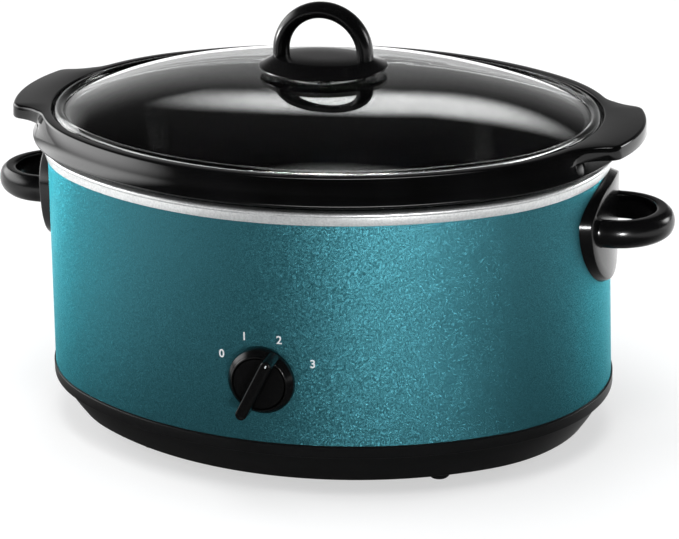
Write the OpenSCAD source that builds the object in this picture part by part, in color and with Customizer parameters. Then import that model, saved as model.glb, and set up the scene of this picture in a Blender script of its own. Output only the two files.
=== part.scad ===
// Oval slow cooker: a black base pan, a painted metal wrap, a steel heating well that hooks over
// the wrap, a stoneware crock with two ears, a glass lid with an arched knob, two loop handles
// and a rotary switch with its knob. Millimetres, +Z up, the front with its knob towards -Y.
// The origin lies on the table under the middle of the whole part.

/* [Body oval] */
// Half length of the body at the foot of its wrap
half_len = 185; // [175:1:200]
// Half width of the body there
half_wid = 140; // [132:1:148]
// Radius of the oval's two ends
end_r = 118; // [112:1:122]

/* [Base pan] */
// Height that the rubber feet hold the pan off the table
foot_h = 7.5; // [4:0.5:9]
// Radius of a rubber foot
foot_r = 6.5; // [5:0.5:6.5]
// Distance of the feet from the middle, along the length
foot_x = 95; // [70:1:98]
// Distance of the feet from the middle, across the width
foot_y = 84; // [70:0.5:88]
// Height of the pan from its underside to the top of its collar
pan_h = 30.5; // [28:0.5:40]
// Wall of the pan
pan_t = 2.5; // [2:0.1:3]
// Height of the upright collar round the foot of the wrap
collar_h = 8; // [6:0.1:9]
// How far the collar stands out past the wrap
collar_proud = 1; // [0.8:0.1:2]
// How far the skirt's foot is set in from the wrap
skirt_in = 11; // [8:0.5:14]

/* [Wrap] */
// Sheet of the wrap
wrap_t = 0.7; // [0.5:0.1:1]
// Height of the wrap that shows between the collar and the silver band
wrap_h = 141; // [120:1:160]
// How far the wrap leans in over that height
wrap_lean = 3.4; // [2:0.1:5]
// Depth of the wrap's edge in the collar's channel
wrap_tuck = 4.8; // [3:0.1:5]

/* [Heating well] */
// Sheet of the well
well_t = 0.8; // [0.6:0.1:1]
// Height of the silver band that the well folds down over the wrap
band_h = 8.5; // [7:0.5:12]
// Thickness of the folded band
hem_t = 1.3; // [1:0.1:1.8]
// Radius of the rolled bead on top of the band
bead_r = 1.2; // [1:0.1:1.6]
// Inset of the well's mouth
well_in = 10.5; // [9:0.5:13]
// How far the well's wall narrows towards its floor
well_taper = 14; // [10:0.5:20]
// Depth of the well
well_depth = 137.5; // [110:0.5:140]
// Radius of the well's lower corner
well_corner = 10; // [6:1:16]

/* [Heater] */
// Height of the heater band
heater_w = 42; // [30:1:50]
// Thickness of the heater band
heater_t = 1.4; // [1:0.1:2]
// Height of the heater band above the well's floor
heater_up = 44; // [42:1:60]
// Half of the gap between the band's two ends
heater_gap = 9; // [8:1:14]
// Radius of the clamp screw
clamp_r = 2; // [1.5:0.1:2.5]

/* [Crock] */
// Gap that shows between the silver band and the crock's rim
rim_gap = 4.5; // [3:0.5:7]
// Height of the rim's side
rim_h = 17.3; // [14:0.1:22]
// How far the rim's lower edge stands out past the foot of the wrap
rim_out = 5.2; // [3:0.1:7]
// How far the rim's side leans in towards its top
rim_flare = 5.7; // [4:0.1:8]
// Width of the rim's top
rim_w = 6.6; // [6:0.1:9]
// Wall of the crock
crock_t = 7.5; // [6:0.5:8]
// Thickness of the crock's floor
crock_floor_t = 8.5; // [6:0.5:11]
// Air gap between the crock's side and the well
crock_gap = 3; // [2:0.5:5]
// Air gap under the crock
crock_lift = 2.5; // [2:0.5:5]
// Depth of the ledge that the lid lies on
ledge_depth = 6.1; // [5:0.1:7]
// Width of that ledge
ledge_w = 12.2; // [10:0.1:13]
// Half length of the crock across its ears
ear_len = 205; // [200:1:214]
// Radius of the ears' end wall
ear_end_r = 104; // [80:1:140]
// Half angle of the end wall
ear_a = 21; // [17:0.5:22]
// Radius of the ears' corners
ear_corner = 10; // [7:0.5:12]
// Radius of the hollow blend from the ears to the rim
ear_blend = 30; // [20:1:32]
// Thickness of the ears
ear_t = 9; // [7:0.5:11]

/* [Lid] */
// Thickness of the glass
glass_t = 4; // [3:0.5:5]
// Radius of the lid's rounded edge
lid_bead_r = 3.3; // [3:0.1:3.5]
// Gap between the lid's edge and the rim round it
lid_gap = 0.9; // [0.6:0.1:1.4]
// Rise of the dome from its edge to its middle
lid_rise = 24.5; // [15:0.5:30]
// Fullness of the dome's curve
lid_curve = 3; // [2:0.1:3.5]
// Radius of the pad in the glass under the knob
seat_r = 22; // [16:0.5:24]
// Height of that pad
seat_h = 2; // [1.5:0.1:5]

/* [Lid knob] */
// Half length of the knob's base
lug_len = 41; // [39:0.5:46]
// Half width of the knob's base
lug_wid = 35.5; // [32:0.5:37]
// Height of the base from its underside to its rim
lug_h = 7; // [5.5:0.1:8]
// Half length of the rim round the top of the base
lug_rim_len = 32.5; // [30:0.5:36]
// Half width of that rim
lug_rim_wid = 21; // [18:0.5:26]
// Half span of the arch, to its outer side
arch_r = 32.6; // [30:0.1:34]
// Thickness of the arch
arch_t = 11; // [9:0.5:12]
// Depth of the arch from front to back
arch_w = 15; // [12:0.5:18]
// Radius of the screw that holds the knob
lug_screw_r = 2.4; // [2:0.1:3]

/* [Side handles] */
// Half width of a handle's pad
pad_wid = 44; // [40:0.5:48]
// Height of the pad above its widest line
pad_top = 23; // [20:0.5:26]
// Height of the pad below its widest line
pad_low = 46; // [40:0.5:52]
// Gap between the pad and the silver band
pad_gap = 1.5; // [0.5:0.1:4]
// How far the pad's middle stands out from the wrap
pad_proud = 5; // [4:0.1:7]
// Radius of the pad's face, seen from above
pad_face_r = 92.4; // [85:0.1:104]
// Height of the loop
loop_t = 17.5; // [14:0.5:20]
// How far the loop's middle lies below the pad's widest line
loop_drop = 6.3; // [3:0.1:10]
// Radius of the finger gap
loop_in_r = 24.5; // [20:0.5:25]
// Radius of the loop's outer side
loop_out_r = 33.3; // [32.5:0.1:38]
// How far the outer side's centre lies ahead of the finger gap's
loop_shift = 3; // [1:0.1:5]
// Radius of the loop's rounded outer side, seen in section
loop_belly = 11.6; // [10.5:0.1:16]
// Radius of a handle screw
hand_screw_r = 1.9; // [1.5:0.1:2.2]

/* [Switch and knob] */
// Height of the knob's axis above the collar
knob_up = 41.5; // [34:0.5:90]
// Radius of the knob's skirt
knob_r = 21; // [18:0.5:24]
// Height of the knob's skirt
knob_skirt = 7; // [6:0.5:9]
// Height of the grip from the knob's back
knob_h = 19; // [15:0.5:24]
// Half length of the grip
grip_len = 21.8; // [17:0.1:24]
// Width of the grip
grip_w = 7; // [6:0.5:9]
// Turn of the pointer from upright, clockwise
knob_turn = 27; // [-64:1:70]
// Radius of the switch's shaft
shaft_r = 3; // [2.5:0.1:3.2]
// Width and height of the switch's box
switch_w = 26; // [22:1:30]
// Depth of the switch's box
switch_d = 12; // [9:0.5:13]

/* [Tie stud and gland] */
// Radius of the stud that holds the pan to the well
stud_r = 3; // [2.5:0.1:4]
// Radius of the hole for the mains lead
cord_r = 3.6; // [3:0.1:4.2]
// Height of the gland above the collar
gland_up = 22; // [15:1:60]

/* [Hidden] */
$fn = 96;

// Clearances
fit = 0.1;      // between pieces that stay together
seat = 0.3;     // under pieces that rest and lift off
running = 0.05; // round the shaft in its bushing

// The oval: two end arcs and two long side arcs that meet them without a corner
end_x = half_len - end_r;
side_rise = half_wid - end_r;
side_y = (end_x * end_x - side_rise * side_rise) / (2 * side_rise);
side_r = half_wid + side_y;
end_a = atan2(side_y, end_x);
side_a = 90 - end_a;
middle_lap = 10;

// Levels
collar_z = foot_h + pan_h;
tuck_z = collar_z - wrap_tuck;
wrap_top = collar_z + wrap_h;
band_top = wrap_top + band_h;
well_z = band_top - well_depth;
rim_low = band_top + rim_gap;
rim_top = rim_low + rim_h;
ledge_z = rim_top - ledge_depth;
crock_z = well_z + crock_lift;
crock_in_z = crock_z + crock_floor_t;
bead_z = ledge_z + seat + lid_bead_r;

// Offsets from the oval, positive outwards
function wrap_at(z) = -wrap_lean * (z - collar_z) / wrap_h;
function well_at(z) = -well_in - well_taper * (band_top - z) / well_depth;
rim_in = rim_out - rim_flare - rim_w;
lid_edge = rim_in - lid_gap - 1;
ledge_in = rim_in - 1 - ledge_w;

// Lid levels
dome_foot_z = bead_z + 1.2;
dome_z = dome_foot_z + lid_rise;
dome_from = lid_edge - 2 * lid_bead_r;
seat_z = dome_z + seat_h;
seal_t = 0.8;
lug_z = seat_z + seal_t;
lug_top = lug_z + lug_h;
dish_depth = 1.6;
lug_bore_z = lug_top - dish_depth - 0.9;

// Handle places
pad_z = wrap_top - pad_gap - pad_top;
pad_x = half_len + wrap_at(pad_z) + pad_proud;
loop_z = pad_z - loop_drop;
loop_in_x = pad_x + 1.3;
loop_out_x = loop_in_x + loop_shift;
arm_y = (loop_in_r + loop_out_r) / 2;
hand_screw_len = 14;
plate_t = 1;
plate_h = 22;

// Knob and switch places; the front of the wrap lies at -front_y
knob_z = collar_z + knob_up;
front_y = half_wid + wrap_at(knob_z);
knob_back = front_y + 1.2 * (knob_r * knob_r / (2 * side_r) + knob_r * wrap_lean / wrap_h);
knob_front = knob_back + knob_h;
bush_r = shaft_r + 1.8;
bush_out = 2.8;
nut_h = 2.2;
nut_r = 7.5;
switch_front = front_y - wrap_t - 1.2;
tab_w = 4.8;
tab_t = 0.8;
tab_len = 7.5;
tab_x = 8;

// Gland place
gland_z = collar_z + gland_up;
gland_y = half_wid + wrap_at(gland_z);
gland_hole_r = cord_r + 2.8;

// Depth from front to back, halved for the origin
oval_y = (knob_front - (half_wid + rim_out)) / 2;

// Points of an arc
function arc(x, z, r, from, to, n = 8) =
  [for (i = [0:n]) let (a = from + (to - from) * i / n) [x + r * cos(a), z + r * sin(a)]];
// Points of a quarter ellipse or other part of one
function bow(x, z, rx, rz, from, to, n = 8) =
  [for (i = [0:n]) let (a = from + (to - from) * i / n) [x + rx * cos(a), z + rz * sin(a)]];

// The body's oval stands a little behind the origin, because the knob stands out at the front
module standing() translate([0, oval_y, 0]) children();

// Sweeps a section round the oval; the section reads $arc_r as the oval's own radius
module oval_sweep() {
  for (turn = [0, 180])
    rotate([0, 0, turn]) translate([end_x, 0, 0]) rotate([0, 0, -end_a])
      rotate_extrude(angle = 2 * end_a, $fn = 180) let ($arc_r = end_r) children();
  for (turn = [0, 180])
    rotate([0, 0, turn]) translate([0, side_y, 0]) rotate([0, 0, -90 - side_a])
      rotate_extrude(angle = 2 * side_a, $fn = 300) let ($arc_r = side_r) children();
}

// Closed ring with a section given as [offset, z] points
module oval_ring(section)
  oval_sweep() polygon([for (p = section) [$arc_r + p[0], p[1]]]);

// Solid that reaches the middle: the section's ends are level there
module oval_solid(section) oval_sweep() {
  mid = max(0, $arc_r - half_wid - middle_lap);
  polygon(concat([[mid, section[0][1]]], [for (p = section) [$arc_r + p[0], p[1]]],
                 [[mid, section[len(section) - 1][1]]]));
}

// Rectangle with round corners
module round_rect(w, h, r) {
  square([w - 2 * r, h], center = true);
  square([w, h - 2 * r], center = true);
  for (x = [-1, 1], y = [-1, 1]) translate([x * (w / 2 - r), y * (h / 2 - r)]) circle(r);
}

// Slot shape with round ends
module slot(len, w) {
  square([w, 2 * len - w], center = true);
  for (y = [-1, 1]) translate([0, y * (len - w / 2)]) circle(w / 2);
}

// Axis of the knob, pointing out of the front
module at_knob() translate([0, 0, knob_z]) rotate([90, 0, 0]) children();

// Round pin or hole that runs along X on both sides of a handle's arms
module at_arms() for (y = [-1, 1]) translate([0, y * arm_y, loop_z]) rotate([0, 90, 0]) children();

// ---- Base ----

module base_pan() {
  skirt_h = collar_z - collar_h - foot_h;
  shelf_z = shield_z - seat;
  lip_in = -wrap_t - 2 * fit - 1.7;
  shell = concat(
    [[-skirt_in - 2, foot_h]],
    [for (i = [0:5]) let (t = i / 5)
      [-skirt_in + (skirt_in - 1) * t + skirt_bow * 4 * t * (1 - t), foot_h + 1 + (skirt_h - 1) * t]],
    [[collar_proud, collar_z - collar_h + 0.4], [collar_proud, collar_z], [fit, collar_z],
     [fit, tuck_z - fit], [-wrap_t - fit, tuck_z - fit], [-wrap_t - fit, collar_z],
     [lip_in, collar_z], [lip_in, tuck_z - fit - 1], [-1 - pan_t, collar_z - collar_h - 1],
     [-shelf_in, shelf_z], [-shelf_in - shelf_w, shelf_z],
     [-skirt_in - pan_t, foot_h + pan_t + 1], [-skirt_in - pan_t - 2, foot_h + pan_t]]);
  color("#151618") standing() difference() {
    union() {
      oval_solid(shell);
      translate([0, 0, foot_h]) cylinder(r = nut_pocket_r + pan_t, h = nut_pocket_h + pan_t);
    }
    translate([0, 0, foot_h - 1]) cylinder(r = nut_pocket_r, h = nut_pocket_h + 1);
    cylinder(r = stud_r + 0.3, h = collar_z);
    for (x = [-1, 1], y = [-1, 1]) translate([x * foot_x, y * foot_y, 0])
      cylinder(r = foot_stem_r + fit, h = collar_z);
  }
}

skirt_bow = 1.1;
shelf_in = 5.2;
shelf_w = 2.8;
nut_pocket_r = stud_r + 9;
nut_pocket_h = 8;
foot_stem_r = 3;

module rubber_feet() color("#202124") standing()
  for (x = [-1, 1], y = [-1, 1]) translate([x * foot_x, y * foot_y, 0]) {
    rotate_extrude() polygon([[0, 0], [foot_r - 1, 0], [foot_r, 1], [foot_r, foot_h - fit],
      [foot_stem_r, foot_h - fit], [foot_stem_r, foot_h + pan_t + fit],
      [foot_stem_r + 1.1, foot_h + pan_t + fit], [foot_stem_r - 1, foot_h + pan_t + 4],
      [0, foot_h + pan_t + 4]]);
  }

// ---- Wrap ----

module outer_wrap() {
  top = band_top - 2 * bead_r;
  color("#1c8794") standing() difference() {
    oval_ring([[0, tuck_z], [0, collar_z], [wrap_at(top), top], [wrap_at(top) - wrap_t, top],
               [-wrap_t, collar_z], [-wrap_t, tuck_z]]);
    at_knob() cylinder(r = bush_r + 0.3, h = knob_front);
    translate([0, 0, gland_z]) rotate([-90, 0, 0]) cylinder(r = gland_hole_r, h = half_wid * 2);
    translate([-half_len * 2, 0, 0]) at_arms() cylinder(r = hand_screw_r + 0.4, h = half_len * 4);
  }
}

// ---- Well, its bracket and the tie ----

module heating_well() {
  corner_x = well_at(well_z) - well_corner;
  hem_x = wrap_at(wrap_top) + fit;
  bead_x = hem_x + hem_t + bead_r - 0.3;
  top = band_top - well_t;
  inside = concat([[corner_x, well_z]],
    arc(corner_x, well_z + well_corner, well_corner, -90, -6),
    [[well_at(band_top), band_top]],
    arc(bead_x, band_top - bead_r, bead_r, 90, -110, 4));
  outside = concat([[hem_x + hem_t, wrap_top], [hem_x, wrap_top], [hem_x, top],
    [well_at(band_top) + well_t, top]],
    arc(corner_x, well_z + well_corner, well_corner + well_t, -6, -90),
    [[corner_x, well_z - well_t]]);
  color("#c3c7c9") standing() oval_solid(concat(inside, outside));
}

bracket_half = 34;
bracket_w = 30;
bracket_t = 1.5;
bracket_h = 14;
bracket_z = well_z - well_t - fit - bracket_h;

module well_bracket() color("#9da1a4") standing() difference() {
  translate([0, bracket_w / 2, 0]) rotate([90, 0, 0]) linear_extrude(bracket_w) {
    for (side = [-1, 1]) {
      translate([side * (bracket_half + 7), bracket_z + bracket_h - bracket_t / 2])
        square([18, bracket_t], center = true);
      translate([side * bracket_half - bracket_t / 2, bracket_z]) square([bracket_t, bracket_h]);
    }
    translate([-bracket_half, bracket_z]) square([2 * bracket_half, bracket_t]);
  }
  cylinder(r = stud_r + fit, h = well_z);
}

washer_t = 1;
tie_nut_h = 4;
washer_z = foot_h + nut_pocket_h - washer_t - fit;
tie_nut_z = washer_z - tie_nut_h - fit;

module tie_stud() color("#b4b8ba") standing() {
  translate([0, 0, tie_nut_z - 2]) cylinder(r = stud_r, h = bracket_z + bracket_t - tie_nut_z + 2);
  translate([0, 0, bracket_z + bracket_t + fit / 2]) cylinder(r = stud_r + 3, h = 2.5);
  translate([0, 0, bracket_z + bracket_t - 1]) cylinder(r = stud_r, h = 2);
}

module tie_washer() color("#b4b8ba") standing() translate([0, 0, washer_z]) difference() {
  cylinder(r = nut_pocket_r - 1, h = washer_t);
  translate([0, 0, -1]) cylinder(r = stud_r + 0.3, h = washer_t + 2);
}

module tie_nut() color("#b4b8ba") standing() translate([0, 0, tie_nut_z]) difference() {
  cylinder(r = stud_r * 1.92, h = tie_nut_h, $fn = 6);
  translate([0, 0, -1]) cylinder(r = stud_r + running, h = tie_nut_h + 2);
}

shield_t = 0.7;
shield_z = collar_z - 13 + seat;

module heat_shield() color("#a9adb0") standing() difference() {
  oval_solid([[-shelf_in - 0.3, shield_z], [-shelf_in - 0.3, shield_z + shield_t]]);
  translate([0, 0, shield_z - 1]) cylinder(r = stud_r + 3.5, h = shield_t + 2);
}

// ---- Heater, its clamp, fuse and leads ----

heater_z = well_z + heater_up;
lug_out = 11;
lug_half = 9;
clamp_z = heater_z + heater_w / 2;

// Offset of the heater band's inner face
function heater_at(z) = well_at(z) + well_t + 0.2;
clamp_y = half_wid + heater_at(clamp_z) + heater_t + lug_out / 2 - 1;

module heater_band() {
  top = heater_z + heater_w;
  color("#8f8a80") standing() difference() {
    union() {
      difference() {
        oval_ring([[heater_at(heater_z), heater_z], [heater_at(heater_z) + heater_t, heater_z],
                   [heater_at(top) + heater_t, top], [heater_at(top), top]]);
        translate([-heater_gap, 0, heater_z - 1]) cube([2 * heater_gap, half_wid, heater_w + 2]);
      }
      for (side = [-1, 1]) {
        translate([side * (heater_gap + 0.6) - 0.6, half_wid + heater_at(clamp_z) + heater_t - 1,
                   clamp_z - lug_half]) cube([1.2, lug_out, 2 * lug_half]);
        translate([side * band_tab_x - tab_w / 2, band_tab_y - tab_t / 2, heater_z - tab_len])
          cube([tab_w, tab_t, tab_len + 2]);
      }
    }
    translate([0, clamp_y, clamp_z]) rotate([0, 90, 0])
      cylinder(r = clamp_r + 0.2, h = 4 * heater_gap, center = true);
  }
}

band_tab_x = 24;
band_tab_y = half_wid + heater_at(heater_z) + heater_t - band_tab_x * band_tab_x / (2 * side_r) - 0.6;
clamp_nut_h = 3.2;

module clamp_screw() color("#b4b8ba") standing()
  translate([-heater_gap - 1.2 - fit, clamp_y, clamp_z]) rotate([0, 90, 0]) {
    translate([0, 0, -2.4]) cylinder(r = clamp_r * 1.8, h = 2.4);
    cylinder(r = clamp_r, h = 2 * heater_gap + 2.4 + 2 * fit + clamp_nut_h + 2);
  }

module clamp_nut() color("#b4b8ba") standing()
  translate([heater_gap + 1.2 + fit, clamp_y, clamp_z]) rotate([0, 90, 0]) difference() {
    cylinder(r = clamp_r * 2, h = clamp_nut_h, $fn = 6);
    translate([0, 0, -1]) cylinder(r = clamp_r + running, h = clamp_nut_h + 2);
  }

fuse_r = 2.2;
fuse_len = 12;
fuse_x = 60;
fuse_y = 55;
fuse_z = well_z - well_t - 0.4 - fuse_r;
clip_t = 0.7;
clip_w = 8;

module thermal_fuse() color("#d8d4c4") standing() translate([fuse_x, fuse_y, fuse_z])
  rotate([0, 90, 0]) {
    cylinder(r = fuse_r, h = fuse_len, center = true);
    cylinder(r = 0.6, h = fuse_len + 20, center = true);
  }

module fuse_clip() color("#b4b8ba") standing()
  translate([fuse_x - clip_w / 2, fuse_y, fuse_z]) rotate([90, 0, 90]) linear_extrude(clip_w) {
    difference() {
      circle(fuse_r + fit + clip_t);
      circle(fuse_r + fit);
      translate([-10, 0]) square([20, 10]);
    }
    for (side = [-1, 1]) {
      translate([side * (fuse_r + fit + clip_t / 2) - clip_t / 2, -0.01])
        square([clip_t, fuse_r + 0.3 + 0.01]);
      translate([side * (fuse_r + fit + 4) - 4, fuse_r + 0.3 - clip_t]) square([8, clip_t]);
    }
  }

// Rings of a tube along a path, and the tube itself; 8 sides
function unit(v) = v / norm(v);
function along(path, i) = unit(path[min(i + 1, len(path) - 1)] - path[max(i - 1, 0)]);
module tube(path, r) {
  rings = [for (i = [0:len(path) - 1]) let (t = along(path, i),
             u = unit(cross(t, abs(t[2]) > 0.9 ? [1, 0, 0] : [0, 0, 1])), v = cross(t, u))
             for (k = [0:7]) path[i] + r * (cos(45 * k) * u + sin(45 * k) * v)];
  last = (len(path) - 1) * 8;
  polyhedron(rings, concat([[for (k = [0:7]) 7 - k]],
    [for (i = [0:len(path) - 2], k = [0:7]) let (a = 8 * i + k, b = 8 * i + (k + 1) % 8)
       [a, b, b + 8, a + 8]],
    [[for (k = [0:7]) last + k]]));
}

lead_r = 1.2;
terminal_len = 11;
terminal_drop = terminal_len - tab_len + 0.5;
switch_tab_z = knob_z - switch_w / 2 - tab_len;
lead_z = switch_tab_z - 12;
lead_in = 9;
lead_front = [-tab_x, -(switch_front - switch_d / 2), switch_tab_z - terminal_drop];
lead_left = [-band_tab_x, band_tab_y, heater_z - tab_len - terminal_drop];
lead_right = [band_tab_x, band_tab_y, heater_z - tab_len - terminal_drop];

// Point on the oval at an offset, at an angle about the centre of its left end
function on_end(a, d, z) = [-end_x - (end_r + d) * cos(a), (end_r + d) * sin(a), z];
// Point on the oval's side at an offset, at an angle about that side's centre
function on_side(a, d, z, s) = [(side_r + d) * sin(a), s * ((side_r + d) * cos(a) - side_y), z];

module internal_leads() color("#a33a2c") standing() {
  tube(concat([lead_front - [0, 0, fit], lead_front - [0, 0, 4]],
    [for (a = [-6:-5:-36]) on_side(a, -lead_in, lead_z, -1)],
    [for (a = [-50:10:50]) on_end(a, -lead_in, lead_z)],
    [for (a = [-33:5:-13]) on_side(a, -lead_in, lead_z, 1)],
    [lead_left - [3, 0, 9], lead_left - [0, 0, 4], lead_left - [0, 0, fit]]), lead_r);
  tube([lead_right - [0, 0, fit], lead_right - [0, 0, 6], lead_right + [2, 1, -20],
        lead_right + [3, 1, -34], lead_right + [2, -4, heater_low - 2],
        [fuse_x - 36, half_wid - 42, fuse_z - 8], [fuse_x - 38, fuse_y + 16, fuse_z - 6],
        [fuse_x - 34, fuse_y + 3, fuse_z - 2], [fuse_x - 26, fuse_y, fuse_z],
        [fuse_x - fuse_len / 2 - 10.2, fuse_y, fuse_z]], lead_r);
}

heater_low = well_z - heater_z;

module terminal() translate([0, 0, -terminal_drop]) difference() {
  translate([-tab_w / 2 - 1, -1.5, 0]) cube([tab_w + 2, 3, terminal_len]);
  translate([-tab_w / 2 - fit, -tab_t / 2 - fit, 3]) cube([tab_w + 2 * fit, tab_t + 2 * fit, 12]);
}

module push_on_terminals() color("#c9a94e") standing() {
  translate([-tab_x, -(switch_front - switch_d / 2), switch_tab_z]) terminal();
  for (side = [-1, 1]) translate([side * band_tab_x, band_tab_y, heater_z - tab_len]) terminal();
}

// ---- Side handles ----

module wrap_body(grow) oval_solid([[grow, collar_z - 20], [grow, collar_z],
                                   [grow + wrap_at(band_top), band_top]]);

// Egg-shaped outline of the pad, in Y and Z
function egg(n = 44) = [for (i = [0:n - 1]) let (a = 360 * i / n)
  [pad_wid * cos(a), (sin(a) > 0 ? pad_top : pad_low) * sin(a)]];

module loop_section() intersection() {
  translate([0, -loop_t / 2]) square([loop_out_r, loop_t]);
  union() {
    translate([0, -loop_t / 2]) square([loop_out_r - loop_belly, loop_t]);
    translate([loop_out_r - loop_belly, 0]) circle(loop_belly);
  }
}

module side_handle() difference() {
  union() {
    intersection() {
      translate([pad_x - 40, 0, pad_z]) rotate([90, 0, 90]) linear_extrude(100) polygon(egg());
      translate([pad_x - pad_face_r, 0, 0]) cylinder(r = pad_face_r, h = rim_top, $fn = 180);
    }
    difference() {
      union() {
        translate([loop_out_x, 0, loop_z]) rotate([0, 0, -90]) rotate_extrude(angle = 180)
          loop_section();
        translate([pad_x - 25, 0, loop_z]) rotate([90, 0, 90])
          linear_extrude(loop_out_x - pad_x + 25) {
            loop_section();
            mirror([1, 0]) loop_section();
          }
      }
      translate([loop_in_x, 0, 0]) cylinder(r = loop_in_r, h = rim_top);
      translate([pad_x - 40, -loop_in_r, 0]) cube([loop_in_x - pad_x + 40, 2 * loop_in_r, rim_top]);
    }
  }
  wrap_body(fit);
  translate([pad_x - 40, 0, 0]) at_arms() cylinder(r = hand_screw_r + running, h = bore_end);
}

bore_end = 40 - pad_proud + hand_screw_len - 1;

module handle_right() color("#141416") standing() side_handle();
module handle_left() color("#141416") standing() mirror([1, 0, 0]) side_handle();

module handle_plates() color("#b4b8ba") standing() {
  low = loop_z - plate_h / 2;
  high = loop_z + plate_h / 2;
  inner = -wrap_t - fit;
  for (side = [0, 1]) mirror([side, 0, 0]) difference() {
    intersection() {
      oval_ring([[wrap_at(low) + inner, low], [wrap_at(high) + inner, high],
                 [wrap_at(high) + inner - plate_t, high], [wrap_at(low) + inner - plate_t, low]]);
      translate([0, -arm_y - 9, low]) cube([half_len, 2 * arm_y + 18, plate_h]);
    }
    at_arms() cylinder(r = hand_screw_r + 0.3, h = half_len);
  }
}

screw_head_h = 2.2;
screw_head_x = end_x + sqrt(pow(end_r + wrap_at(loop_z) - wrap_t - plate_t, 2) - pow(arm_y + 3.4, 2)) - 0.3;

module handle_screws() color("#b4b8ba") standing()
  for (side = [0, 1]) mirror([side, 0, 0]) translate([screw_head_x - screw_head_h, 0, 0]) at_arms() {
    cylinder(r = hand_screw_r + 1.5, h = screw_head_h);
    cylinder(r = hand_screw_r, h = screw_head_h + hand_screw_len);
  }

// ---- Switch and knob ----

module rotary_switch() color("#2b2b2e") standing() at_knob() difference() {
  union() {
    translate([-switch_w / 2, -switch_w / 2, switch_front - switch_d])
      cube([switch_w, switch_w, switch_d]);
    translate([0, 0, switch_front - 1]) cylinder(r = bush_r + 2, h = 2);
    translate([0, 0, switch_front - 1]) cylinder(r = bush_r, h = front_y + bush_out - switch_front + 1);
    for (side = [-1, 1])
      translate([side * tab_x - tab_w / 2, -switch_w / 2 - tab_len,
                 switch_front - switch_d / 2 - tab_t / 2]) cube([tab_w, tab_len + 1, tab_t]);
  }
  translate([0, 0, shaft_back]) cylinder(r = shaft_r + running, h = knob_front);
}

shaft_back = switch_front - switch_d + 3;

module switch_nut() color("#b4b8ba") standing() at_knob()
  translate([0, 0, front_y + 0.3]) difference() {
    cylinder(r = nut_r, h = nut_h, $fn = 6);
    translate([0, 0, -1]) cylinder(r = bush_r + running, h = nut_h + 2);
  }

flat_r = shaft_r * 0.5;
shaft_front = knob_back + knob_h - 6;

module switch_shaft() color("#c9ccce") standing() at_knob() difference() {
  translate([0, 0, shaft_back + fit]) cylinder(r = shaft_r, h = shaft_front - shaft_back - fit);
  rotate([0, 0, -knob_turn]) translate([-10, flat_r, front_y + bush_out + 1])
    cube([20, 20, knob_h]);
}

groove_r = knob_r - 3.5;

module control_knob() color("#141416") standing() at_knob() rotate([0, 0, -knob_turn]) difference() {
  union() {
    translate([0, 0, knob_back]) rotate_extrude() polygon([[0, 0], [knob_r - 0.6, 0],
      [knob_r, 0.6], [knob_r - 0.7, knob_skirt - 2], [knob_r - 2.4, knob_skirt],
      [groove_r + 0.3, knob_skirt], [groove_r + 0.3, knob_skirt - 0.7],
      [groove_r - 0.3, knob_skirt - 0.7], [groove_r - 0.3, knob_skirt], [0, knob_skirt]]);
    translate([0, 0, knob_back + knob_skirt - 2]) linear_extrude(knob_h - knob_skirt + 2)
      slot(grip_len, grip_w);
  }
  translate([0, 0, knob_back - 1]) rotate_extrude() polygon([[shaft_r + 3, -1],
    [knob_r - 2.5, -1], [knob_r - 2.5, knob_skirt - 1], [shaft_r + 3, knob_skirt - 1]]);
  translate([0, 0, knob_back - 1]) cylinder(r = nut_r + 0.6, h = nut_room);
  difference() {
    translate([0, 0, knob_back - 1]) cylinder(r = shaft_r + running, h = knob_h - 4);
    translate([-10, flat_r + clip_room, 0]) cube([20, 20, knob_front]);
  }
}

nut_room = bush_out + front_y - knob_back + 2;
clip_room = 0.9;

module knob_clip() color("#c9ccce") standing() at_knob() rotate([0, 0, -knob_turn])
  translate([-1.2, flat_r + 0.2, front_y + bush_out + 1.5]) cube([2.4, 0.5, 6]);

// ---- Gland ----

module cord_gland() color("#1b1c1e") standing() translate([0, 0, gland_z]) rotate([-90, 0, 0])
  difference() {
    union() {
      translate([0, 0, gland_y + 0.3]) cylinder(r = gland_hole_r + 2, h = 2.6);
      translate([0, 0, gland_y - 7]) cylinder(r = gland_hole_r - fit, h = 8);
      for (side = [-1, 1]) translate([side * gland_hole_r - 0.9, -2, gland_y - wrap_t - 3.4])
        cube([1.8, 4, 2.8]);
    }
    translate([0, 0, gland_y - 10]) cylinder(r = cord_r, h = 20);
  }

// ---- Crock ----

// Flat outline of one ear: round end wall, corners and hollow blends back to the rim
module ear_outline() {
  end_c = ear_len - ear_end_r;
  reach = ear_end_r - ear_corner;
  corner = [end_c + reach * cos(ear_a), reach * sin(ear_a)];
  rim_r = end_r + rim_out - rim_flare + 1.5;
  from_rim = rim_r + ear_blend;
  from_corner = ear_corner + ear_blend;
  gap = corner - [end_x, 0];
  far = norm(gap);
  lift = acos((far * far + from_rim * from_rim - from_corner * from_corner) / (2 * far * from_rim));
  rim_a = atan2(gap[1], gap[0]) + lift;
  blend = [end_x + from_rim * cos(rim_a), from_rim * sin(rim_a)];
  turn_a = atan2(corner[1] - blend[1], corner[0] - blend[0]);
  half = concat(arc(end_c, 0, ear_end_r, 0, ear_a, 8), arc(corner[0], corner[1], ear_corner,
    ear_a, turn_a + 180, 8), arc(blend[0], blend[1], ear_blend, turn_a + 360, rim_a + 180, 10),
    [[end_x + (rim_r - 3) * cos(rim_a), (rim_r - 3) * sin(rim_a)]]);
  for (side = [0, 1]) mirror([0, side]) polygon(concat([[end_x + rim_r - 20, 0]], half));
}

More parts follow.
